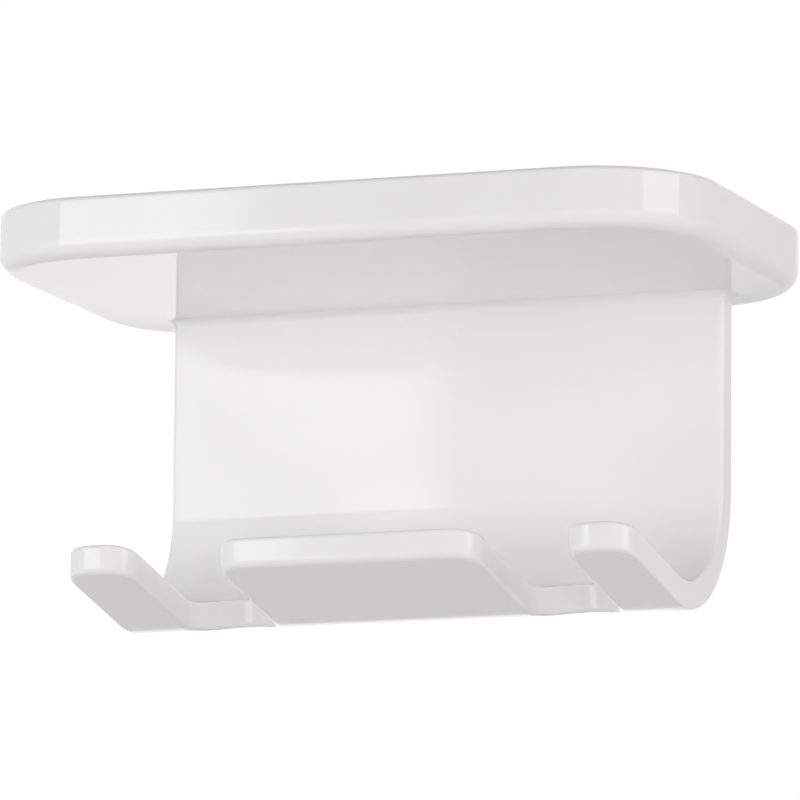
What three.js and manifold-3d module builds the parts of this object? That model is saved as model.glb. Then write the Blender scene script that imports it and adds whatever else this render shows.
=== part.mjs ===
// Wall holder for two electric toothbrushes, with a shallow tray on top
//
// Millimetres. +X is the holder's right as seen from the room, +Y points into the wall, +Z is up.
// The wall is the plane Y = 0. The origin is the middle of the flat rear face of the tray's rim.
import * as THREE from 'three';
import { mergeVertices } from 'three/addons/utils/BufferGeometryUtils.js';
import Module from 'manifold-3d';

const wasm = await Module();
wasm.setup();

// Tray
const TRAY_WIDTH = 180;
const TRAY_DEPTH = 114.4;
const TRAY_HEIGHT = 14.5;
const TRAY_CORNER = 29.3;
const LOWER_EDGE_ROUND = 4.5;
const UPPER_EDGE_ROUND = 1.3;
const LEAST_INNER_ROUND = 1;
const RIM_THICKNESS = 3;
const FLOOR_THICKNESS = 3;

// Fillet collar under the tray round the root of the plate
const COLLAR_RADIUS = 2.35;
const COLLAR_LAND = 0.3;

// Hook bracket: plate, bend and arms
const PLATE_WIDTH = 142.5;
const PLATE_THICKNESS = 6.9;
const PLATE_SETBACK = 18.3;
const BRACKET_DROP = 81.1;
const BEND_OUTER_RADIUS = 33.4;
const ARM_RISE_DEGREES = 12;
const ARM_STRAIGHT_RUN = 36.2;
const TIP_EDGE_ROUND = 1.4;
const TIP_CORNER_RADIUS = 8;
const SIDE_EDGE_ROUND = 0.8;
const SLOT_WIDTH = 22;
const SLOT_SPACING = 87.4;
const SLOT_END_REACH = 25.5;

// Countersunk screws between tray and plate
const SCREW_COUNT = 4;
const SCREW_END_DISTANCE = 13.5;
const SCREW_DIAMETER = 3;
const SCREW_LENGTH = 16;
const SCREW_POINT = 2.5;
const SCREW_HEAD_DIAMETER = 6;
const SCREW_HEAD_DEPTH = 1.7;
const SCREW_CROSS_LENGTH = 3.3;
const SCREW_CROSS_WIDTH = 0.8;
const SCREW_CROSS_DEPTH = 1;
const PILOT_EXTRA_DEPTH = 1.5;

// Sockets on the rear of the plate and the suction cups that they hang on
const CUP_SPACING = 72;
const CUP_CENTRE_BELOW_TRAY = 26;
const CUP_RADIUS = 23;
const CUP_LIP_WIDTH = 6.5;
const CUP_LIP_EDGE = 0.9;
const CUP_HOLLOW = 1.2;
const CUP_HOLLOW_HALFWAY = 0.95;
const CUP_DOME_BELLY = 0.42;
const NECK_DIAMETER = 9;
const HEAD_DIAMETER = 15;
const HEAD_EDGE = 0.8;
const SOCKET_DEPTH = 7.6;
const SOCKET_PAD = 0.8;
const SOCKET_LIP = 2.6;
const SOCKET_WALL = 4.1;
const SOCKET_SKIRT = 14;

// Clearances
const SEAT_GAP = 0.3;
const COLLAR_GAP = 0.3;
const SCREW_GAP = 0.3;
const NECK_GAP = 0.4;
const HEAD_GAP = 0.4;
const CUP_GAP = 0.3;

// Fineness of the curved faces, and how far a cutter or a joint runs past the face that it crosses
const CORNER_STEPS = 10;
const EDGE_STEPS = 5;
const BEND_STEPS = 22;
const SIDE_EDGE_STEPS = 3;
const SLOT_STEPS = 18;
const ROUND_STEPS = 20;
const CUP_STEPS = 40;
const OVERRUN = 2;
const EASE = 0.05;
const WELD = 1e-4;

// Levels and places that follow from the sizes
const underside = -(LOWER_EDGE_ROUND + TRAY_HEIGHT - UPPER_EDGE_ROUND) / 2;
const trayTop = underside + TRAY_HEIGHT;
const floorTop = underside + FLOOR_THICKNESS;
const innerRound = Math.max(LOWER_EDGE_ROUND - RIM_THICKNESS, LEAST_INNER_ROUND);
const plateRear = -PLATE_SETBACK;
const plateMiddle = plateRear - PLATE_THICKNESS / 2;
const plateFront = plateRear - PLATE_THICKNESS;
const rootTop = underside - SEAT_GAP;
const rise = THREE.MathUtils.degToRad(ARM_RISE_DEGREES);
const bendInnerRadius = BEND_OUTER_RADIUS - PLATE_THICKNESS;
const bendY = plateRear - BEND_OUTER_RADIUS;
const bendZ = underside - BRACKET_DROP + BEND_OUTER_RADIUS;
const cupZ = underside - CUP_CENTRE_BELOW_TRAY;
const firstScrew = SCREW_END_DISTANCE - PLATE_WIDTH / 2;
const screwPitch = -2 * firstScrew / (SCREW_COUNT - 1);
const screwPlaces = Array.from({ length: SCREW_COUNT }, (unused, i) => firstScrew + i * screwPitch);
const quarter = Math.PI / 2;

// Direction of the arms from the bend to the tips, and the direction from their lower to their upper face
const along = new THREE.Vector2(-Math.cos(rise), Math.sin(rise));
const across = new THREE.Vector2(Math.sin(rise), Math.cos(rise));
const armStart = new THREE.Vector2(
  bendY - BEND_OUTER_RADIUS * Math.sin(rise),
  bendZ - BEND_OUTER_RADIUS * Math.cos(rise),
);
const tipY = armStart.x + along.x * ARM_STRAIGHT_RUN;

const gloss = new THREE.MeshStandardMaterial({ color: 0xf3f3f1, roughness: 0.18, metalness: 0 });
const cupPlastic = new THREE.MeshStandardMaterial({ color: 0xd9e0e2, roughness: 0.3, metalness: 0 });
const steel = new THREE.MeshStandardMaterial({ color: 0xb8bbbe, roughness: 0.32, metalness: 1 });

// A closed geometry as a solid that can be joined and cut
function solid(geometry) {
  geometry.deleteAttribute('normal');
  geometry.deleteAttribute('uv');
  const welded = mergeVertices(geometry, WELD);
  return new wasm.Manifold(new wasm.Mesh({
    numProp: 3,
    vertProperties: new Float32Array(welded.attributes.position.array),
    triVerts: new Uint32Array(welded.index.array),
  }));
}

function named(name, body, material) {
  const raw = body.getMesh();
  const geometry = new THREE.BufferGeometry();
  geometry.setAttribute('position', new THREE.BufferAttribute(new Float32Array(raw.vertProperties), 3));
  geometry.setIndex(new THREE.BufferAttribute(new Uint32Array(raw.triVerts), 1));
  geometry.computeVertexNormals();
  const mesh = new THREE.Mesh(geometry, material);
  mesh.name = name;
  return mesh;
}

// Points of an arc from one angle to another, both ends included
function arc(x, y, radius, from, to, steps) {
  const points = [];
  for (let i = 0; i <= steps; i += 1) {
    const angle = from + (to - from) * i / steps;
    points.push(new THREE.Vector2(x + radius * Math.cos(angle), y + radius * Math.sin(angle)));
  }
  return points;
}

// A straight prism of an outline between two heights, its end edges rounded if asked
function prism(points, low, high, round = 0, size = round, steps = EDGE_STEPS) {
  const geometry = new THREE.ExtrudeGeometry(new THREE.Shape(points), {
    depth: high - low - 2 * round,
    bevelEnabled: round > 0,
    bevelThickness: round,
    bevelSize: size,
    bevelSegments: steps,
  });
  geometry.translate(0, 0, low + round);
  return geometry;
}

function cylinder(lowRadius, highRadius, low, high, x, y) {
  const geometry = new THREE.CylinderGeometry(highRadius, lowRadius, high - low, ROUND_STEPS);
  geometry.rotateX(quarter);
  geometry.translate(x, y, (low + high) / 2);
  return solid(geometry);
}

// Outline of the tray from above, drawn in from its outer face
function trayOutline(inset) {
  const side = TRAY_WIDTH / 2 - inset;
  const front = -TRAY_DEPTH + inset;
  const rear = -inset;
  const radius = TRAY_CORNER - inset;
  return [
    ...arc(side - radius, front + radius, radius, -quarter, 0, CORNER_STEPS),
    ...arc(side - radius, rear - radius, radius, 0, quarter, CORNER_STEPS),
    ...arc(-side + radius, rear - radius, radius, quarter, 2 * quarter, CORNER_STEPS),
    ...arc(-side + radius, front + radius, radius, 2 * quarter, 3 * quarter, CORNER_STEPS),
  ];
}

// Section of the plate at its root, grown all round
function rootOutline(grow) {
  const half = PLATE_WIDTH / 2 + grow;
  return [
    new THREE.Vector2(-half, plateFront - grow),
    new THREE.Vector2(half, plateFront - grow),
    new THREE.Vector2(half, plateRear + grow),
    new THREE.Vector2(-half, plateRear + grow),
  ];
}

function makeTray() {
  const lower = solid(prism(
    trayOutline(LOWER_EDGE_ROUND), underside, trayTop + 2 * LOWER_EDGE_ROUND, LOWER_EDGE_ROUND));
  const upper = solid(prism(
    trayOutline(UPPER_EDGE_ROUND - EASE), underside - 2 * UPPER_EDGE_ROUND, trayTop, UPPER_EDGE_ROUND));
  const hollow = solid(prism(
    trayOutline(RIM_THICKNESS + innerRound), floorTop, trayTop + 2 * innerRound + OVERRUN, innerRound));

  // The collar's hollow face is two flats, one steep and one shallow, that touch the fillet's arc
  const flat = COLLAR_RADIUS * Math.tan(quarter / 4);
  const foot = rootOutline(COLLAR_GAP + COLLAR_LAND);
  const steep = solid(prism(
    foot, underside - COLLAR_RADIUS, underside + COLLAR_RADIUS, COLLAR_RADIUS - EASE, flat, 1));
  const shallow = solid(prism(foot, underside - flat, underside + flat, flat - EASE, COLLAR_RADIUS, 1));
  const root = solid(prism(rootOutline(COLLAR_GAP), underside - COLLAR_RADIUS - OVERRUN, underside));

  let tray = lower.intersect(upper).subtract(hollow);
  tray = tray.add(steep).add(shallow).subtract(root);
  const holeRadius = SCREW_DIAMETER / 2 + SCREW_GAP;
  const sinkRadius = SCREW_HEAD_DIAMETER / 2 + SCREW_GAP;
  for (const x of screwPlaces) {
    tray = tray.subtract(cylinder(holeRadius, holeRadius, underside - OVERRUN, trayTop, x, plateMiddle));
    tray = tray.subtract(
      cylinder(holeRadius, sinkRadius, floorTop - SCREW_HEAD_DEPTH - SCREW_GAP, floorTop, x, plateMiddle));
    tray = tray.subtract(
      cylinder(sinkRadius, sinkRadius, floorTop - EASE, floorTop + OVERRUN, x, plateMiddle));
  }
  return tray;
}

// Middle of the round on a tip's edge, at a height over the arm's lower face; the tips' end faces are upright
function tipRoundMiddle(height) {
  const middle = armStart.clone().addScaledVector(across, height);
  return middle.addScaledVector(along, (middle.x - tipY - TIP_EDGE_ROUND) / Math.cos(rise));
}

// Side view of the bracket: x stands for Y and y for Z
function bracketProfile() {
  const start = -quarter - rise;
  const lowerEdge = tipRoundMiddle(TIP_EDGE_ROUND);
  const upperEdge = tipRoundMiddle(PLATE_THICKNESS - TIP_EDGE_ROUND);
  return [
    new THREE.Vector2(plateRear, rootTop),
    ...arc(bendY, bendZ, BEND_OUTER_RADIUS, 0, start, BEND_STEPS),
    ...arc(lowerEdge.x, lowerEdge.y, TIP_EDGE_ROUND, start, -2 * quarter, EDGE_STEPS),
    ...arc(upperEdge.x, upperEdge.y, TIP_EDGE_ROUND, -2 * quarter, start - 2 * quarter, EDGE_STEPS),
    ...arc(bendY, bendZ, bendInnerRadius, start, 0, BEND_STEPS),
    new THREE.Vector2(plateFront, rootTop),
  ];
}

// Plan of a slot with its round end and with the round corners of the arms on either side of its mouth
function slotOutline(centre, corner) {
  const left = centre - SLOT_WIDTH / 2;
  const right = centre + SLOT_WIDTH / 2;
  const endY = plateRear - SLOT_END_REACH - SLOT_WIDTH / 2;
  return [
    new THREE.Vector2(left - corner, tipY - OVERRUN),
    ...arc(right + corner, tipY + corner, corner, -quarter, -2 * quarter, CORNER_STEPS),
    ...arc(centre, endY, SLOT_WIDTH / 2, 0, 2 * quarter, SLOT_STEPS),
    ...arc(left - corner, tipY + corner, corner, 0, -quarter, CORNER_STEPS),
  ];
}

// What the round outer corner of an end arm leaves of a square one; side is 1 on the right, -1 on the left
function cornerOutline(side, corner) {
  const edge = PLATE_WIDTH / 2;
  const points = [
    ...arc(edge - corner, tipY + corner, corner, -quarter, 0, CORNER_STEPS),
    new THREE.Vector2(edge + OVERRUN, tipY + corner),
    new THREE.Vector2(edge + OVERRUN, tipY - OVERRUN),
    new THREE.Vector2(edge - corner, tipY - OVERRUN),
  ];
  return points.map((point) => new THREE.Vector2(side * point.x, point.y));
}

// A socket outline seen from behind: a round top over the cup's neck, straight sides and an open foot
function socketOutline(centre, radius, drop) {
  return [
    ...arc(centre, cupZ, radius, 0, 2 * quarter, ROUND_STEPS),
    new THREE.Vector2(centre - radius, cupZ - drop),
    new THREE.Vector2(centre + radius, cupZ - drop),
  ];
}

// A prism across the wall direction, between two values of Y
function standing(points, lowY, highY) {
  const geometry = prism(points, -highY, -lowY);
  geometry.rotateX(quarter);
  return solid(geometry);
}

function makeBracket() {
  const side = new THREE.ExtrudeGeometry(new THREE.Shape(bracketProfile()), {
    depth: PLATE_WIDTH - 2 * SIDE_EDGE_ROUND,
    bevelEnabled: true,
    bevelThickness: SIDE_EDGE_ROUND,
    bevelSize: SIDE_EDGE_ROUND,
    bevelOffset: -SIDE_EDGE_ROUND,
    bevelSegments: SIDE_EDGE_STEPS,
  });
  side.translate(0, 0, SIDE_EDGE_ROUND - PLATE_WIDTH / 2);
  side.applyMatrix4(new THREE.Matrix4().makeBasis(
    new THREE.Vector3(0, 1, 0), new THREE.Vector3(0, 0, 1), new THREE.Vector3(1, 0, 0)));
  let bracket = solid(side);

  const low = underside - BRACKET_DROP - OVERRUN;
  const high = bendZ;
  const endArm = PLATE_WIDTH / 2 - SLOT_SPACING / 2 - SLOT_WIDTH / 2;
  const corner = Math.min(TIP_CORNER_RADIUS, endArm / 2 - EASE);
  for (const sign of [-1, 1]) {
    bracket = bracket.subtract(solid(prism(slotOutline(sign * SLOT_SPACING / 2, corner), low, high)));
    bracket = bracket.subtract(solid(prism(cornerOutline(sign, corner), low, high)));
  }

  const neckSlot = NECK_DIAMETER / 2 + NECK_GAP;
  const headPocket = HEAD_DIAMETER / 2 + HEAD_GAP;
  const socketEnd = plateRear + SOCKET_DEPTH;
  for (const sign of [-1, 1]) {
    const x = sign * CUP_SPACING / 2;
    const block = standing(
      socketOutline(x, headPocket + SOCKET_WALL, SOCKET_SKIRT), plateRear - OVERRUN, socketEnd);
    const pocket = standing(
      socketOutline(x, headPocket, SOCKET_SKIRT + OVERRUN), plateRear + SOCKET_PAD, socketEnd - SOCKET_LIP);
    const mouth = standing(
      socketOutline(x, neckSlot, SOCKET_SKIRT + OVERRUN),
      socketEnd - SOCKET_LIP - EASE, socketEnd + OVERRUN);
    bracket = bracket.add(block).subtract(pocket).subtract(mouth);
  }

  const pilotRadius = SCREW_DIAMETER / 2 + SCREW_GAP;
  const pilotLow = floorTop - SCREW_LENGTH - PILOT_EXTRA_DEPTH;
  for (const x of screwPlaces) {
    bracket = bracket.subtract(
      cylinder(pilotRadius, pilotRadius, pilotLow, rootTop + OVERRUN, x, plateMiddle));
  }
  return bracket;
}

// Countersunk screw with a cross recess, its head level with z = 0 and its point down
function makeScrew() {
  const shank = SCREW_DIAMETER / 2;
  const profile = [
    new THREE.Vector2(0, -SCREW_LENGTH),
    new THREE.Vector2(shank, -SCREW_LENGTH + SCREW_POINT),
    new THREE.Vector2(shank, -SCREW_HEAD_DEPTH),
    new THREE.Vector2(SCREW_HEAD_DIAMETER / 2, 0),
    new THREE.Vector2(0, 0),
  ];
  const turned = new THREE.LatheGeometry(profile, ROUND_STEPS);
  turned.rotateX(quarter);
  let screw = solid(turned);
  for (const [length, width] of [
    [SCREW_CROSS_LENGTH, SCREW_CROSS_WIDTH],
    [SCREW_CROSS_WIDTH, SCREW_CROSS_LENGTH],
  ]) {
    screw = screw.subtract(solid(new THREE.BoxGeometry(length, width, 2 * SCREW_CROSS_DEPTH)));
  }
  return screw;
}

// Suction cup pressed on the wall: lip and hollow at the wall, then dome, neck and head toward the plate
function makeCup() {
  const domeTop = PLATE_SETBACK - SOCKET_DEPTH - CUP_GAP;
  const headLow = PLATE_SETBACK - SOCKET_DEPTH + SOCKET_LIP + HEAD_GAP;
  const headTop = PLATE_SETBACK - SOCKET_PAD - HEAD_GAP;
  const neck = NECK_DIAMETER / 2;
  const head = HEAD_DIAMETER / 2;
  const hollowEdge = CUP_RADIUS - CUP_LIP_WIDTH;
  const dome = [];
  for (let i = 0; i <= ROUND_STEPS / 2; i += 1) {
    const t = i / (ROUND_STEPS / 2);
    const climb = (1 - CUP_DOME_BELLY) * t + CUP_DOME_BELLY * t * t;
    const height = CUP_LIP_EDGE + (domeTop - CUP_LIP_EDGE) * climb;
    dome.push(new THREE.Vector2(CUP_RADIUS + (neck - CUP_RADIUS) * t, height));
  }
  const profile = [
    new THREE.Vector2(0, CUP_HOLLOW),
    new THREE.Vector2(hollowEdge / 2, CUP_HOLLOW_HALFWAY),
    new THREE.Vector2(hollowEdge, 0),
    new THREE.Vector2(CUP_RADIUS, 0),
    ...dome,
    new THREE.Vector2(neck, headLow),
    new THREE.Vector2(head, headLow),
    new THREE.Vector2(head, headTop - HEAD_EDGE),
    new THREE.Vector2(head - HEAD_EDGE, headTop),
    new THREE.Vector2(0, headTop),
  ];
  const turned = new THREE.LatheGeometry(profile, CUP_STEPS);
  turned.rotateX(2 * quarter);
  return solid(turned);
}

const holder = new THREE.Group();
holder.add(named('shelf_tray', makeTray(), gloss));
holder.add(named('hook_bracket', makeBracket(), gloss));
screwPlaces.forEach((x, i) => {
  const screw = named(`tray_screw_${i + 1}`, makeScrew(), steel);
  screw.position.set(x, plateMiddle, floorTop);
  holder.add(screw);
});

const wallCups = new THREE.Group();
for (const [side, sign] of [['left', -1], ['right', 1]]) {
  const cup = named(`suction_cup_${side}`, makeCup(), cupPlastic);
  cup.position.set(sign * CUP_SPACING / 2, 0, cupZ);
  wallCups.add(cup);
}

const toothbrushHolder = new THREE.Group();
toothbrushHolder.add(holder, wallCups);

export default toothbrushHolder;
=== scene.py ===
import math

import bmesh
import bpy
from mathutils import Matrix, Vector


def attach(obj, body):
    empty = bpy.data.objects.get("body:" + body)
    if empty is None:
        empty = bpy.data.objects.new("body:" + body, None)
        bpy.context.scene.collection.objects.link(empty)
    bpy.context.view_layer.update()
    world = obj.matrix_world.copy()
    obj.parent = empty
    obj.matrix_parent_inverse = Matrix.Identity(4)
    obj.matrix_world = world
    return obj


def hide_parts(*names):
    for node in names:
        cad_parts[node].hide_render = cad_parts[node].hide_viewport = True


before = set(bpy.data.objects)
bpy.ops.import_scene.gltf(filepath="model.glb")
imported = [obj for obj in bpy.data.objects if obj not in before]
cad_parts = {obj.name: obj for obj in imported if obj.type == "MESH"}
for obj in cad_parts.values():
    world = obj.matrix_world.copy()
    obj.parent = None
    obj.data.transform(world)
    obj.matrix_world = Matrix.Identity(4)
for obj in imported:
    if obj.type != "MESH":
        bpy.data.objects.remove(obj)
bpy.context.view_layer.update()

# Sizes are in millimetres and turned into metres where a mesh is made
MM = 0.001

# Tray
TRAY_WIDTH = 180
TRAY_DEPTH = 114.4
TRAY_HEIGHT = 14.5
UNDERSIDE = -8.85
TRAY_TOP = UNDERSIDE + TRAY_HEIGHT
TRAY_CORNER = 29.3
TRAY_CORNER_STEPS = 20
LOWER_EDGE_ROUND = 4.5
LOWER_EDGE_STEPS = 12
UPPER_EDGE_ROUND = 1.3
UPPER_EDGE_STEPS = 5
INNER_LIP_ROUND = 0.9
INNER_LIP_STEPS = 4
RIM_THICKNESS = 3
FLOOR_THICKNESS = 3
FLOOR_TOP = UNDERSIDE + FLOOR_THICKNESS
FLOOR_COVE = 1.5
FLOOR_COVE_STEPS = 8

# Fillet collar round the root of the plate
COLLAR_RADIUS = 2.35
COLLAR_STEPS = 8
COLLAR_FLANGE = 5
COLLAR_COVER = 1
COLLAR_FIT = 0.01
COLLAR_LIP = 0.03
COLLAR_SINK = 0.01

# Bracket, with heights along the straight slab counted from the start of the bend
PLATE_WIDTH = 142.5
PLATE_THICKNESS = 6.9
PLATE_REAR = -18.3
PLATE_MIDDLE = PLATE_REAR - PLATE_THICKNESS / 2
ROOT_GAP = 0.3
ROOT_TOP = UNDERSIDE - ROOT_GAP
BEND_LEVEL = -56.53
BEND_ANGLE = math.radians(102)
BEND_OUTER_RADIUS = 33.4
BEND_LENGTH = (BEND_OUTER_RADIUS - PLATE_THICKNESS / 2) * BEND_ANGLE
BEND_CUTS = 44
ARM_RUN = 36.2
SLAB_TOP = ROOT_TOP - BEND_LEVEL
SLAB_FOOT = -BEND_LENGTH - ARM_RUN
SLOT_WIDTH = 22
SLOT_SPACING = 87.4
SLOT_END = -38.95
SLOT_STEPS = 24
TIP_CORNER = 8
TIP_CORNER_STEPS = 12
TIP_CORNER_PROFILE = 0.6
TIP_LEAN = PLATE_THICKNESS * math.tan(BEND_ANGLE - math.pi / 2)
ROOT_EDGE_ROUND = 1
ROOT_EDGE_STEPS = 5
FRONT_EDGE_ROUND = {"plate": ROOT_EDGE_ROUND, "side": 1, "slot": 0.6, "tip": 1.3}
REAR_EDGE_ROUND = {"plate": ROOT_EDGE_ROUND, "side": 0.5, "slot": 1.3, "tip": 1.9}
EDGE_ROUND_MOST = max(*FRONT_EDGE_ROUND.values(), *REAR_EDGE_ROUND.values())
EDGE_STEPS = 6

# Sockets on the plate's rear face
SOCKET_SPACING = 72
SOCKET_LEVEL = -34.85
SOCKET_RADIUS = 12
SOCKET_SKIRT = 14
SOCKET_DEPTH = 7.6
SOCKET_SINK = 1
SOCKET_END = PLATE_REAR + SOCKET_DEPTH
SOCKET_EDGE_ROUND = 0.7
SOCKET_EDGE_STEPS = 4
POCKET_RADIUS = 7.9
POCKET_SET_OFF = 0.8
POCKET_REAR = PLATE_REAR + POCKET_SET_OFF
MOUTH_WALL = 2.6
POCKET_FRONT = SOCKET_END - MOUTH_WALL
MOUTH_RADIUS = 4.9
MOUTH_OVERLAP = 0.5
ARCH_STEPS = 20

# Screws
SCREW_COUNT = 4
SCREW_INSET = 13.5
SCREW_SPREAD = PLATE_WIDTH - 2 * SCREW_INSET
SCREW_LENGTH = 16
SCREW_RADIUS = 1.5
SCREW_POINT = 2.5
SCREW_TIP_RADIUS = 0.15
HEAD_RADIUS = 3
HEAD_HEIGHT = 1.7
HEAD_EDGE = 0.2
CROSS_LENGTH = 3.3
CROSS_WIDTH = 0.8
CROSS_DEPTH = 1
SCREW_HOLE = 1.8
SINK_RADIUS = 3.3
SINK_DEPTH = 2
SINK_PAST = 0.2

# Suction cups, the hollow as rings of (radius, distance from the wall)
CUP_RADIUS = 23
CUP_LIP = 0.9
CUP_HOLLOW = [(8.25, 0.95), (16.5, 0.12), (17.5, 0)]
CUP_CROWN = 10.4
CUP_NECK = 4.5
CUP_HEAD_REAR = 13.7
CUP_HEAD_FRONT = 17.1
CUP_HEAD = 7.5
CUP_HEAD_EDGE = 0.8
CUP_HEAD_EDGE_STEPS = 4
CUP_DOME_RINGS = 10
CUP_DOME_STRAIGHT = 0.58

# Modelling
TURN_STEPS = 64
ROUND_PROFILE = 0.5
HALF_ROUND_GAP = 0.01
CUT_PAST = 3
TIGHT = 0.001
CLOSE = 0.01
LOOSE = 0.1
OUTLINE_SLACK = 0.05
FACING = 0.9
SHARP_EDGE = 1
SMOOTH_ANGLE = math.radians(32)
EVEN_WEIGHT = 100


def leave_edit():
    if bpy.context.object and bpy.context.object.mode != "OBJECT":
        bpy.ops.object.mode_set(mode="OBJECT")


def clear_selection():
    leave_edit()
    bpy.ops.object.select_all(action="DESELECT")


def take(piece):
    clear_selection()
    piece.select_set(True)
    bpy.context.view_layer.objects.active = piece


def open_whole(piece):
    """Opens a piece with all of it selected."""
    take(piece)
    bpy.ops.object.mode_set(mode="EDIT")
    bpy.ops.mesh.select_all(action="SELECT")


def new_piece(name):
    """Names the primitive just added and puts its place into its mesh."""
    piece = bpy.context.object
    piece.name = name
    bpy.ops.object.transform_apply(location=True, rotation=True, scale=True)
    return piece


def block(name, low, high):
    """A box between two corners."""
    clear_selection()
    low, high = Vector(low) * MM, Vector(high) * MM
    bpy.ops.mesh.primitive_cube_add(size=1, location=(low + high) / 2, scale=high - low)
    return new_piece(name)


def drill(name, place, low, high, low_radius, high_radius):
    """An upright round tool between two heights, straight or tapered."""
    clear_selection()
    bpy.ops.mesh.primitive_cone_add(
        vertices=TURN_STEPS, radius1=low_radius * MM, radius2=high_radius * MM, depth=(high - low) * MM,
        location=Vector((place[0], place[1], (low + high) / 2)) * MM)
    return new_piece(name)


def pick_edges(piece, test):
    """Opens a piece and selects the edges whose two ends, in millimetres, pass the test."""
    take(piece)
    bpy.ops.object.mode_set(mode="EDIT")
    bpy.ops.mesh.select_mode(type="EDGE")
    bpy.ops.mesh.select_all(action="DESELECT")
    mesh = bmesh.from_edit_mesh(piece.data)
    for edge in mesh.edges:
        if test(*(corner.co / MM for corner in edge.verts)):
            edge.select_set(True)
    bmesh.update_edit_mesh(piece.data)


def pick_faces(piece, test):
    """Opens a piece and selects the faces whose normal passes the test."""
    take(piece)
    bpy.ops.object.mode_set(mode="EDIT")
    bpy.ops.mesh.select_mode(type="FACE")
    bpy.ops.mesh.select_all(action="DESELECT")
    mesh = bmesh.from_edit_mesh(piece.data)
    for face in mesh.faces:
        if test(face.normal):
            face.select_set(True)
    bmesh.update_edit_mesh(piece.data)


def near(a, b, slack=CLOSE):
    return abs(a - b) < slack


def both(test):
    """The same test for the two ends of an edge."""
    return lambda a, b: test(a) and test(b)


def upright(a, b):
    """Whether an edge between two points stands upright."""
    return near(a.x, b.x) and near(a.y, b.y)


def crosswise_at(height):
    """A test for the edges that run from front to rear at a height."""
    return lambda a, b: near(a.z, height) and near(b.z, height) and near(a.x, b.x)


def round_edges(piece, radius, steps, test, profile=ROUND_PROFILE):
    pick_edges(piece, test)
    bpy.ops.mesh.bevel(
        offset=radius * MM, segments=steps, profile=profile, affect="EDGES", clamp_overlap=False)
    leave_edit()


def half_round(piece, radius, steps, test):
    """Rounds two edges into one half circle, whose two quarters meet in the middle."""
    round_edges(piece, radius - HALF_ROUND_GAP, steps, test)
    open_whole(piece)
    bpy.ops.mesh.remove_doubles(threshold=3 * HALF_ROUND_GAP * MM)
    leave_edit()


def cut_across(piece, heights):
    """Cuts the faces of a piece at each height."""
    open_whole(piece)
    for height in heights:
        bpy.ops.mesh.select_all(action="SELECT")
        bpy.ops.mesh.bisect(plane_co=(0, 0, height * MM), plane_no=(0, 0, 1))
    leave_edit()


def turned(name, steps):
    """A round piece drawn out upwards from its lowest ring, through steps of (radius, height)."""
    clear_selection()
    radius, height = steps[0]
    bpy.ops.mesh.primitive_circle_add(
        vertices=TURN_STEPS, radius=radius * MM, fill_type="NGON", location=(0, 0, height * MM))
    piece = new_piece(name)
    bpy.ops.object.mode_set(mode="EDIT")
    bpy.ops.mesh.select_mode(type="FACE")
    bpy.ops.mesh.select_all(action="SELECT")
    for next_radius, next_height in steps[1:]:
        bpy.ops.mesh.extrude_region_move(
            TRANSFORM_OT_translate={"value": (0, 0, (next_height - height) * MM)})
        grow = next_radius / radius
        bpy.ops.transform.resize(value=(grow, grow, 1), center_override=(0, 0, next_height * MM))
        radius, height = next_radius, next_height
    bpy.ops.mesh.select_all(action="SELECT")
    bpy.ops.mesh.normals_make_consistent(inside=False)
    leave_edit()
    return piece


def copy_to(piece, name, place):
    """A copy with a mesh of its own, moved to its place."""
    take(piece)
    bpy.ops.object.duplicate(linked=False)
    twin = bpy.context.object
    twin.name = name
    twin.location = Vector(place) * MM
    bpy.ops.object.transform_apply(location=True, rotation=True, scale=True)
    return twin


def combine(piece, tool, operation):
    """Joins a second piece to the first, or cuts it away, and uses it up."""
    take(piece)
    step = piece.modifiers.new("step", "BOOLEAN")
    step.operation = operation
    step.solver = "EXACT"
    step.object = tool
    bpy.ops.object.modifier_apply(modifier=step.name)
    bpy.data.objects.remove(tool)


def finish_piece(piece, material, body, slot, *nodes):
    """Even shading on flats and rounds, then the finish, and what the piece moves with and stands for."""
    take(piece)
    bpy.ops.object.shade_smooth_by_angle(angle=SMOOTH_ANGLE)
    even = piece.modifiers.new("even", "WEIGHTED_NORMAL")
    even.weight = EVEN_WEIGHT
    even.keep_sharp = True
    bpy.ops.object.modifier_apply(modifier=even.name)
    piece.data.materials.clear()
    piece.data.materials.append(material)
    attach(piece, body)
    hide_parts(*nodes)


# Tray


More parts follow.
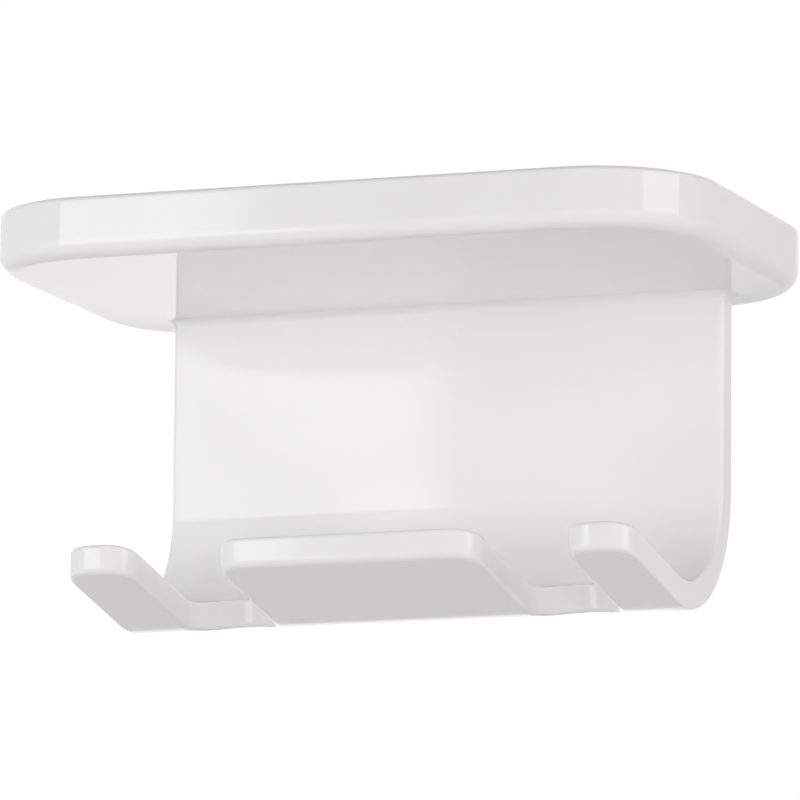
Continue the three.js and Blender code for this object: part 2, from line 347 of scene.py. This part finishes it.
def make_tray():
    side = TRAY_WIDTH / 2
    tray = block("moulded_tray", (-side, -TRAY_DEPTH, UNDERSIDE), (side, 0, TRAY_TOP))
    round_edges(tray, TRAY_CORNER, TRAY_CORNER_STEPS, upright)

    # The hollow is sunk from the top face, inside the rim
    pick_faces(tray, lambda normal: normal.z > FACING)
    bpy.ops.mesh.inset(thickness=RIM_THICKNESS * MM, depth=0, use_even_offset=True)
    bpy.ops.mesh.extrude_region_move(
        TRANSFORM_OT_translate={"value": (0, 0, (FLOOR_TOP - TRAY_TOP) * MM)})
    leave_edit()

    def level(height):
        return both(lambda p: near(p.z, height))

    def top_edge(inset):
        return both(lambda p: near(p.z, TRAY_TOP) and near(inside_outline(p), inset, OUTLINE_SLACK))

    round_edges(tray, LOWER_EDGE_ROUND, LOWER_EDGE_STEPS, level(UNDERSIDE))
    round_edges(tray, FLOOR_COVE, FLOOR_COVE_STEPS, level(FLOOR_TOP))
    round_edges(tray, UPPER_EDGE_ROUND, UPPER_EDGE_STEPS, top_edge(0))
    round_edges(tray, INNER_LIP_ROUND, INNER_LIP_STEPS, top_edge(RIM_THICKNESS))

    combine(tray, make_collar(), "UNION")
    combine(tray, make_root(COLLAR_FIT, UNDERSIDE - 2 * CUT_PAST, UNDERSIDE), "DIFFERENCE")
    for x in screw_places():
        place = (x, PLATE_MIDDLE)
        hole = drill("hole", place, UNDERSIDE - CUT_PAST, TRAY_TOP, SCREW_HOLE, SCREW_HOLE)
        sink = drill("sink", place, FLOOR_TOP - SINK_DEPTH, FLOOR_TOP + SINK_PAST,
                     SCREW_HOLE, SINK_RADIUS + SINK_PAST)
        combine(tray, hole, "DIFFERENCE")
        combine(tray, sink, "DIFFERENCE")
    return tray


def inside_outline(p):
    """How far a point lies inside the tray's outline, seen from above."""
    from_side = TRAY_WIDTH / 2 - abs(p.x)
    from_end = min(TRAY_DEPTH + p.y, -p.y)
    if from_side < TRAY_CORNER and from_end < TRAY_CORNER:
        return TRAY_CORNER - math.hypot(TRAY_CORNER - from_side, TRAY_CORNER - from_end)
    return min(from_side, from_end)


def make_root(grow, low, high):
    """The plate's section at its root, grown all round, between two heights."""
    half = PLATE_WIDTH / 2 + grow
    root = block("root", (-half, PLATE_MIDDLE - PLATE_THICKNESS / 2 - grow, low),
                 (half, PLATE_MIDDLE + PLATE_THICKNESS / 2 + grow, high))
    round_edges(root, ROOT_EDGE_ROUND + grow, ROOT_EDGE_STEPS, upright)
    return root


def make_collar():
    """A flange sunk in the floor, a short root below it, and the fillet in the corner between them."""
    flange_low = UNDERSIDE + COLLAR_SINK
    collar = make_root(COLLAR_LIP + COLLAR_FLANGE, flange_low, FLOOR_TOP - COLLAR_COVER)
    pick_faces(collar, lambda normal: normal.z < -FACING)
    bpy.ops.mesh.inset(thickness=COLLAR_FLANGE * MM, depth=0, use_even_offset=True)
    bpy.ops.mesh.extrude_region_move(
        TRANSFORM_OT_translate={"value": (0, 0, -(COLLAR_RADIUS + COLLAR_LIP + COLLAR_SINK) * MM)})
    leave_edit()
    half = PLATE_WIDTH / 2 + COLLAR_LIP
    deep = PLATE_THICKNESS / 2 + COLLAR_LIP

    def in_corner(p):
        by_plate = abs(p.x) < half + LOOSE and abs(p.y - PLATE_MIDDLE) < deep + LOOSE
        return near(p.z, flange_low, TIGHT) and by_plate

    round_edges(collar, COLLAR_RADIUS, COLLAR_STEPS, both(in_corner))
    return collar


# Bracket


def make_slab():
    """The bracket before it is bent: an upright slab, its arms straight down with the slots between."""
    half = PLATE_WIDTH / 2
    deep = PLATE_THICKNESS / 2
    slab = block("moulded_bracket", (-half, -deep, SLAB_FOOT), (half, deep, SLAB_TOP))

    # The upper face runs on past the lower one, so that the tips stand upright once the arms rise
    pick_edges(slab, both(lambda p: near(p.z, SLAB_FOOT) and p.y < 0))
    bpy.ops.transform.translate(value=(0, 0, -TIP_LEAN * MM))
    leave_edit()

    for sign in (-1, 1):
        x = sign * SLOT_SPACING / 2
        slot = block("slot", (x - SLOT_WIDTH / 2, -deep - CUT_PAST, SLAB_FOOT - CUT_PAST),
                     (x + SLOT_WIDTH / 2, deep + CUT_PAST, SLOT_END))
        half_round(slot, SLOT_WIDTH / 2, SLOT_STEPS, crosswise_at(SLOT_END))
        combine(slab, slot, "DIFFERENCE")

    def tip_corner(a, b):
        return max(a.z, b.z) < SLAB_FOOT + LOOSE and near(a.x, b.x) and not near(a.y, b.y)

    round_edges(slab, TIP_CORNER, TIP_CORNER_STEPS, tip_corner, TIP_CORNER_PROFILE)
    return slab


def edge_round(p):
    """How round the bracket's edge is at a point of the straight slab."""
    rounds = FRONT_EDGE_ROUND if p.y < 0 else REAR_EDGE_ROUND
    arm = rounds["slot"]
    from_side = PLATE_WIDTH / 2 - abs(p.x)
    from_slot = abs(abs(p.x) - SLOT_SPACING / 2) - SLOT_WIDTH / 2
    if from_side < from_slot:
        past_plate = min(max(-p.z / BEND_LENGTH, 0), 1)
        arm = rounds["plate"] + (rounds["side"] - rounds["plate"]) * past_plate
    to_tip = min(max((SLAB_FOOT + TIP_CORNER - p.z) / TIP_CORNER, 0), 1) ** 2
    return arm + (rounds["tip"] - arm) * to_tip


def round_slab(slab):
    """Rounds the edges of both faces, each as much as its place asks for."""
    mesh = bmesh.new()
    mesh.from_mesh(slab.data)
    weight = mesh.edges.layers.float.new("bevel_weight_edge")
    for edge in mesh.edges:
        a, b = (corner.co / MM for corner in edge.verts)
        below_top = min(a.z, b.z) < SLAB_TOP - LOOSE
        if below_top and near(a.y, b.y) and edge.calc_face_angle(0) > SHARP_EDGE:
            edge[weight] = edge_round((a + b) / 2) / EDGE_ROUND_MOST
    mesh.to_mesh(slab.data)
    mesh.free()
    take(slab)
    rounding = slab.modifiers.new("rounding", "BEVEL")
    rounding.limit_method = "WEIGHT"
    rounding.width = EDGE_ROUND_MOST * MM
    rounding.segments = EDGE_STEPS
    rounding.use_clamp_overlap = False
    bpy.ops.object.modifier_apply(modifier=rounding.name)


def bend_slab(slab):
    """Bends the slab below the plate, so that its foot becomes the rising arms."""
    take(slab)
    lowest = SLAB_FOOT - TIP_LEAN
    length = SLAB_TOP - lowest
    bend = slab.modifiers.new("bend", "SIMPLE_DEFORM")
    bend.deform_method = "BEND"
    bend.deform_axis = "X"
    bend.angle = -BEND_ANGLE
    bend.limits = ((-BEND_LENGTH - lowest) / length, -lowest / length)
    bpy.ops.object.modifier_apply(modifier=bend.name)
    slab.location = Vector((0, PLATE_MIDDLE, BEND_LEVEL)) * MM
    bpy.ops.object.transform_apply(location=True, rotation=True, scale=True)


def make_bracket():
    bracket = make_slab()

    # Cuts across the length let the slab bend, and those by the slots' ends wait until the edges are round
    cuts = [-BEND_LENGTH * i / BEND_CUTS for i in range(BEND_CUTS + 1)]
    by_slots = [z for z in cuts if SLOT_END - SLOT_WIDTH / 2 < z < SLOT_END + 2 * EDGE_ROUND_MOST]
    cut_across(bracket, [z for z in cuts if z not in by_slots])
    round_slab(bracket)
    cut_across(bracket, by_slots)

    bend_slab(bracket)
    for sign in (-1, 1):
        combine(bracket, make_socket(sign * SOCKET_SPACING / 2), "UNION")
    return bracket


def arch(name, x, radius, skirt, low_y, high_y):
    """A block with a round top and straight sides, standing across the wall direction."""
    top = SOCKET_LEVEL + radius
    piece = block(name, (x - radius, low_y, SOCKET_LEVEL - skirt), (x + radius, high_y, top))
    half_round(piece, radius, ARCH_STEPS, crosswise_at(top))
    return piece


def make_socket(x):
    """An arch with a pocket for the cup's head and a narrower mouth for its neck, both open at the foot."""
    open_skirt = SOCKET_SKIRT + CUT_PAST
    socket = arch("socket", x, SOCKET_RADIUS, SOCKET_SKIRT, PLATE_REAR - SOCKET_SINK, SOCKET_END)
    round_edges(socket, SOCKET_EDGE_ROUND, SOCKET_EDGE_STEPS, both(lambda p: near(p.y, SOCKET_END)))
    pocket = arch("pocket", x, POCKET_RADIUS, open_skirt, POCKET_REAR, POCKET_FRONT)
    combine(socket, pocket, "DIFFERENCE")
    mouth = arch("mouth", x, MOUTH_RADIUS, open_skirt, POCKET_FRONT - MOUTH_OVERLAP, SOCKET_END + CUT_PAST)
    combine(socket, mouth, "DIFFERENCE")
    return socket


# Screws and suction cups


def screw_places():
    return [SCREW_SPREAD * (i / (SCREW_COUNT - 1) - 0.5) for i in range(SCREW_COUNT)]


def make_screw():
    """One countersunk screw with a cross recess, its head level with the tray's floor."""
    top = FLOOR_TOP
    head = top - HEAD_HEIGHT
    foot = top - SCREW_LENGTH
    screw = turned("countersunk_screw", [
        (SCREW_TIP_RADIUS, foot), (SCREW_RADIUS, foot + SCREW_POINT), (SCREW_RADIUS, head),
        (HEAD_RADIUS, top - HEAD_EDGE), (HEAD_RADIUS, top)])
    for long_x, long_y in ((CROSS_LENGTH, CROSS_WIDTH), (CROSS_WIDTH, CROSS_LENGTH)):
        recess = block("recess", (-long_x / 2, -long_y / 2, top - CROSS_DEPTH),
                       (long_x / 2, long_y / 2, top + CUT_PAST))
        combine(screw, recess, "DIFFERENCE")
    return screw


def make_cup():
    """One suction cup: a thin lip, a domed disc, a neck and a button head."""
    dome = []
    for i in range(CUP_DOME_RINGS + 1):
        part = i / CUP_DOME_RINGS
        climb = CUP_DOME_STRAIGHT * part + (1 - CUP_DOME_STRAIGHT) * part ** 2
        dome.append((CUP_RADIUS - (CUP_RADIUS - CUP_NECK) * part, CUP_LIP + (CUP_CROWN - CUP_LIP) * climb))
    quarter = [math.radians(90 * i / CUP_HEAD_EDGE_STEPS) for i in range(CUP_HEAD_EDGE_STEPS + 1)]
    head = [(CUP_NECK, CUP_HEAD_REAR), (CUP_HEAD - CUP_HEAD_EDGE, CUP_HEAD_REAR)]
    for turn in quarter[1:]:
        head.append((CUP_HEAD - CUP_HEAD_EDGE * (1 - math.sin(turn)),
                     CUP_HEAD_REAR + CUP_HEAD_EDGE * (1 - math.cos(turn))))
    for turn in quarter:
        head.append((CUP_HEAD - CUP_HEAD_EDGE * (1 - math.cos(turn)),
                     CUP_HEAD_FRONT - CUP_HEAD_EDGE * (1 - math.sin(turn))))
    cup = turned("suction_cup", CUP_HOLLOW + [(CUP_RADIUS, 0)] + dome + head)

    # Turned upright, the cup is laid over so that its lip is on the wall
    open_whole(cup)
    bpy.ops.transform.rotate(value=math.radians(-90), orient_axis="X", center_override=(0, 0, 0))
    leave_edit()
    return cup


# Finishes, each tone and gloss as the two ends of its range

WHITE_TONES = (0.9, 0.9, 0.896), (0.92, 0.92, 0.916)
WHITE_ROUGHNESS = 0.045, 0.085
WHITE_IOR = 1.5
RIPPLE_STRENGTH = 0.25
RIPPLE_HEIGHT = 0.04 * MM
STEEL_TONES = (0.66, 0.67, 0.68), (0.74, 0.75, 0.76)
STEEL_ROUGHNESS = 0.22, 0.36
CUP_TONES = (0.8, 0.85, 0.86), (0.86, 0.9, 0.91)
CUP_ROUGHNESS = 0.16, 0.28
CUP_CLEARNESS = 0.55, 0.7
CUP_IOR = 1.48

# The noise lies mostly between these two values
PATTERN_LOW = 0.3
PATTERN_HIGH = 0.7


def shader(name):
    material = bpy.data.materials.new(name)
    material.use_nodes = True
    nodes = material.node_tree.nodes
    return material, nodes, material.node_tree.links, nodes["Principled BSDF"]


def noise(nodes, links, place, scale, detail):
    texture = nodes.new("ShaderNodeTexNoise")
    texture.inputs["Scale"].default_value = scale
    texture.inputs["Detail"].default_value = detail
    links.new(place.outputs["Object"], texture.inputs["Vector"])
    return texture


def spread(nodes, links, source, low, high):
    """Maps a pattern onto a range of values."""
    step = nodes.new("ShaderNodeMapRange")
    step.inputs["From Min"].default_value = PATTERN_LOW
    step.inputs["From Max"].default_value = PATTERN_HIGH
    step.inputs["To Min"].default_value = low
    step.inputs["To Max"].default_value = high
    links.new(source.outputs["Fac"], step.inputs["Value"])
    return step.outputs["Result"]


def tint(nodes, links, source, first, second):
    """Maps a pattern onto the tones between two colours."""
    ramp = nodes.new("ShaderNodeValToRGB")
    ramp.color_ramp.elements[0].position = PATTERN_LOW
    ramp.color_ramp.elements[0].color = (*first, 1)
    ramp.color_ramp.elements[1].position = PATTERN_HIGH
    ramp.color_ramp.elements[1].color = (*second, 1)
    links.new(source.outputs["Fac"], ramp.inputs["Fac"])
    return ramp.outputs["Color"]


def gloss_white():
    """Polished white moulding: faint flow clouds, fine gloss changes and a slight ripple."""
    material, nodes, links, skin = shader("polished_white_moulding")
    place = nodes.new("ShaderNodeTexCoord")
    clouds = noise(nodes, links, place, scale=28, detail=3)
    links.new(tint(nodes, links, clouds, *WHITE_TONES), skin.inputs["Base Color"])
    polish = noise(nodes, links, place, scale=240, detail=4)
    links.new(spread(nodes, links, polish, *WHITE_ROUGHNESS), skin.inputs["Roughness"])
    ripple = noise(nodes, links, place, scale=90, detail=1)
    bump = nodes.new("ShaderNodeBump")
    bump.inputs["Strength"].default_value = RIPPLE_STRENGTH
    bump.inputs["Distance"].default_value = RIPPLE_HEIGHT
    links.new(ripple.outputs["Fac"], bump.inputs["Height"])
    links.new(bump.outputs["Normal"], skin.inputs["Normal"])
    skin.inputs["IOR"].default_value = WHITE_IOR
    return material


def plain_steel():
    """Stainless screws with a fine bright grain."""
    material, nodes, links, skin = shader("stainless_steel")
    place = nodes.new("ShaderNodeTexCoord")
    grain = noise(nodes, links, place, scale=900, detail=3)
    links.new(tint(nodes, links, grain, *STEEL_TONES), skin.inputs["Base Color"])
    links.new(spread(nodes, links, grain, *STEEL_ROUGHNESS), skin.inputs["Roughness"])
    skin.inputs["Metallic"].default_value = 1
    return material


def soft_clear():
    """Soft translucent cups, slightly hazy and blue-grey."""
    material, nodes, links, skin = shader("soft_translucent")
    place = nodes.new("ShaderNodeTexCoord")
    haze = noise(nodes, links, place, scale=60, detail=3)
    links.new(tint(nodes, links, haze, *CUP_TONES), skin.inputs["Base Color"])
    links.new(spread(nodes, links, haze, *CUP_ROUGHNESS), skin.inputs["Roughness"])
    links.new(spread(nodes, links, haze, *CUP_CLEARNESS), skin.inputs["Transmission Weight"])
    skin.inputs["IOR"].default_value = CUP_IOR
    return material


# Camera, its distance in metres and its lens in millimetres

AIM = Vector((0, -45, -40.99)) * MM
AZIMUTH = math.radians(20.476)
ELEVATION = math.radians(-9.42)
ROLL = math.radians(0.531)
DISTANCE = 2.1023
FAR_LIMIT = 50
LENS = 392.77
SENSOR_WIDTH = 36
LENS_SHIFT_X = -0.02057
LENS_SHIFT_Y = 0.02921


def set_camera():
    back = Vector((math.sin(AZIMUTH) * math.cos(ELEVATION), -math.cos(AZIMUTH) * math.cos(ELEVATION),
                   math.sin(ELEVATION)))
    right = Vector((math.cos(AZIMUTH), math.sin(AZIMUTH), 0))
    up = back.cross(right)
    right, up = (right * math.cos(ROLL) + up * math.sin(ROLL), up * math.cos(ROLL) - right * math.sin(ROLL))
    lens = bpy.data.cameras.new("photo_lens")
    lens.sensor_width = SENSOR_WIDTH
    lens.lens = LENS
    lens.shift_x = LENS_SHIFT_X
    lens.shift_y = LENS_SHIFT_Y
    lens.clip_end = FAR_LIMIT
    camera = bpy.data.objects.new("photo_camera", lens)
    bpy.context.scene.collection.objects.link(camera)
    turn = Matrix((right, up, back)).transposed().to_4x4()
    camera.matrix_world = Matrix.Translation(AIM + back * DISTANCE) @ turn
    bpy.context.scene.camera = camera


# Studio, in metres and watts

LIGHT_TARGET = Vector((0, -0.05, -0.04))
NEUTRAL = (1, 1, 1)
WARM = (1, 0.965, 0.93)
WIDE = math.radians(180)
NARROW = math.radians(60)
WHITE = (1, 1, 1, 1)
SHOWN_STRENGTH = 1
SURROUND_LIGHT = 0.12
STAGE_SIZE = 1.6
STAGE_PLACE = (0, -0.55, -0.6)
STAGE_COLOUR = (0.72, 0.72, 0.71, 1)
STAGE_ROUGHNESS = 0.9
STAGE_WHITENESS = 0.75


def panel(name, place, size, power, colour=NEUTRAL, cone=WIDE, mirrored=True):
    """A soft light panel that faces the holder and shows in its gloss."""
    light = bpy.data.lights.new(name, "AREA")
    light.shape = "RECTANGLE"
    light.size, light.size_y = size
    light.energy = power
    light.color = colour
    light.spread = cone
    lamp = bpy.data.objects.new(name, light)
    bpy.context.scene.collection.objects.link(lamp)
    place = Vector(place)
    lamp.location = place
    lamp.rotation_euler = (LIGHT_TARGET - place).to_track_quat("-Z", "Y").to_euler()
    lamp.visible_glossy = mirrored


def fill(name, place, size, power, colour=NEUTRAL, cone=WIDE):
    """A panel that lights the holder and doesn't show in its gloss."""
    panel(name, place, size, power, colour, cone, mirrored=False)


def shown_rays(nodes, links):
    """1 for what the camera sees, directly or in gloss and clear plastic, and 0 for the light's own way."""
    path = nodes.new("ShaderNodeLightPath")
    shown = path.outputs["Is Camera Ray"]
    for kind in ("Is Glossy Ray", "Is Transmission Ray"):
        most = nodes.new("ShaderNodeMath")
        most.operation = "MAXIMUM"
        links.new(shown, most.inputs[0])
        links.new(path.outputs[kind], most.inputs[1])
        shown = most.outputs[0]
    return shown


def mixed(nodes, links, share, first, second):
    """Two shaders in one, where a share of 1 is all the second."""
    mix = nodes.new("ShaderNodeMixShader")
    links.new(share, mix.inputs["Fac"])
    links.new(first.outputs[0], mix.inputs[1])
    links.new(second.outputs[0], mix.inputs[2])
    return mix


def glow(nodes, kind, strength):
    """A plain white light source, as a world's background or a surface's emission."""
    source = nodes.new(kind)
    source.inputs["Color"].default_value = WHITE
    source.inputs["Strength"].default_value = strength
    return source


def set_backdrop():
    """A white surround that lights the holder only faintly."""
    world = bpy.data.worlds.new("studio")
    bpy.context.scene.world = world
    world.use_nodes = True
    nodes, links = world.node_tree.nodes, world.node_tree.links
    nodes.clear()
    faint = glow(nodes, "ShaderNodeBackground", SURROUND_LIGHT)
    backdrop = glow(nodes, "ShaderNodeBackground", SHOWN_STRENGTH)
    surround = mixed(nodes, links, shown_rays(nodes, links), faint, backdrop)
    out = nodes.new("ShaderNodeOutputWorld")
    links.new(surround.outputs[0], out.inputs["Surface"])


def set_floor():
    """A pale floor that takes the holder's shadow and doesn't hide the holder from a camera under it."""
    clear_selection()
    bpy.ops.mesh.primitive_plane_add(size=STAGE_SIZE, location=STAGE_PLACE)
    floor = bpy.context.object
    floor.name = "studio_floor"
    pale, nodes, links, matt = shader("pale_floor")
    matt.inputs["Base Color"].default_value = STAGE_COLOUR
    matt.inputs["Roughness"].default_value = STAGE_ROUGHNESS
    white = glow(nodes, "ShaderNodeEmission", SHOWN_STRENGTH)
    share = nodes.new("ShaderNodeMath")
    share.operation = "MULTIPLY"
    share.inputs[1].default_value = STAGE_WHITENESS
    links.new(shown_rays(nodes, links), share.inputs[0])
    upper = mixed(nodes, links, share.outputs[0], matt, white)
    lower = nodes.new("ShaderNodeBsdfTransparent")
    side = nodes.new("ShaderNodeNewGeometry")
    one_way = mixed(nodes, links, side.outputs["Backfacing"], upper, lower)
    links.new(one_way.outputs[0], nodes["Material Output"].inputs["Surface"])
    floor.data.materials.append(pale)


def set_studio():
    set_backdrop()
    set_floor()

    # Panels that show in the gloss
    panel("window_panel", (-0.41, -0.75, -0.1), size=(0.27, 0.62), power=1.16)
    panel("right_panel", (0.75, -0.25, 0.15), size=(0.48, 0.45), power=1.35, colour=WARM)
    panel("back_left_panel", (-0.3, 0.5, -0.1), size=(0.35, 0.3), power=0.11, colour=WARM)

    # Soft fill from the room
    fill("left_fill", (-1, -0.65, -0.05), size=(0.5, 0.7), power=3.15)
    fill("front_fill", (0, -1.35, -0.12), size=(0.6, 0.4), power=2.1)
    fill("right_fill", (1, -0.9, -0.05), size=(0.5, 0.5), power=1.25)
    fill("right_side_fill", (1.1, -0.1, -0.1), size=(0.4, 0.5), power=0.8, colour=WARM)
    fill("high_left_fill", (-0.5, -1, 0.6), size=(0.5, 0.4), power=1.35)
    fill("high_right_fill", (0.6, -1.1, 0.45), size=(0.5, 0.4), power=0.55)
    fill("low_left_fill", (-1, -0.25, -0.5), size=(0.5, 0.4), power=0.45, colour=WARM)
    fill("low_right_fill", (1, -0.5, -0.45), size=(0.5, 0.4), power=2.75, colour=WARM)

    # Light from behind, for the rear faces and the tray's inside
    fill("rear_fill", (0, 0.85, 0.65), size=(0.4, 0.3), power=1, cone=NARROW)
    fill("low_rear_fill", (0, 1, -0.25), size=(0.4, 0.3), power=0.9)

    bpy.context.scene.view_settings.view_transform = "Standard"


# The holder in its studio

set_camera()
set_studio()
white = gloss_white()
finish_piece(make_tray(), white, "holder", "gloss_white", "shelf_tray")
finish_piece(make_bracket(), white, "holder", "gloss_white", "hook_bracket")
steel = plain_steel()
screw = make_screw()
for number, x in enumerate(screw_places(), 1):
    twin = copy_to(screw, f"countersunk_screw_{number}", (x, PLATE_MIDDLE, 0))
    finish_piece(twin, steel, "holder", "screw_steel", f"tray_screw_{number}")
bpy.data.objects.remove(screw)
clear = soft_clear()
cup = make_cup()
for side, sign in (("left", -1), ("right", 1)):
    twin = copy_to(cup, f"domed_cup_{side}", (sign * SOCKET_SPACING / 2, 0, SOCKET_LEVEL))
    finish_piece(twin, clear, "wall_cups", "clear_cup", f"suction_cup_{side}")
bpy.data.objects.remove(cup)
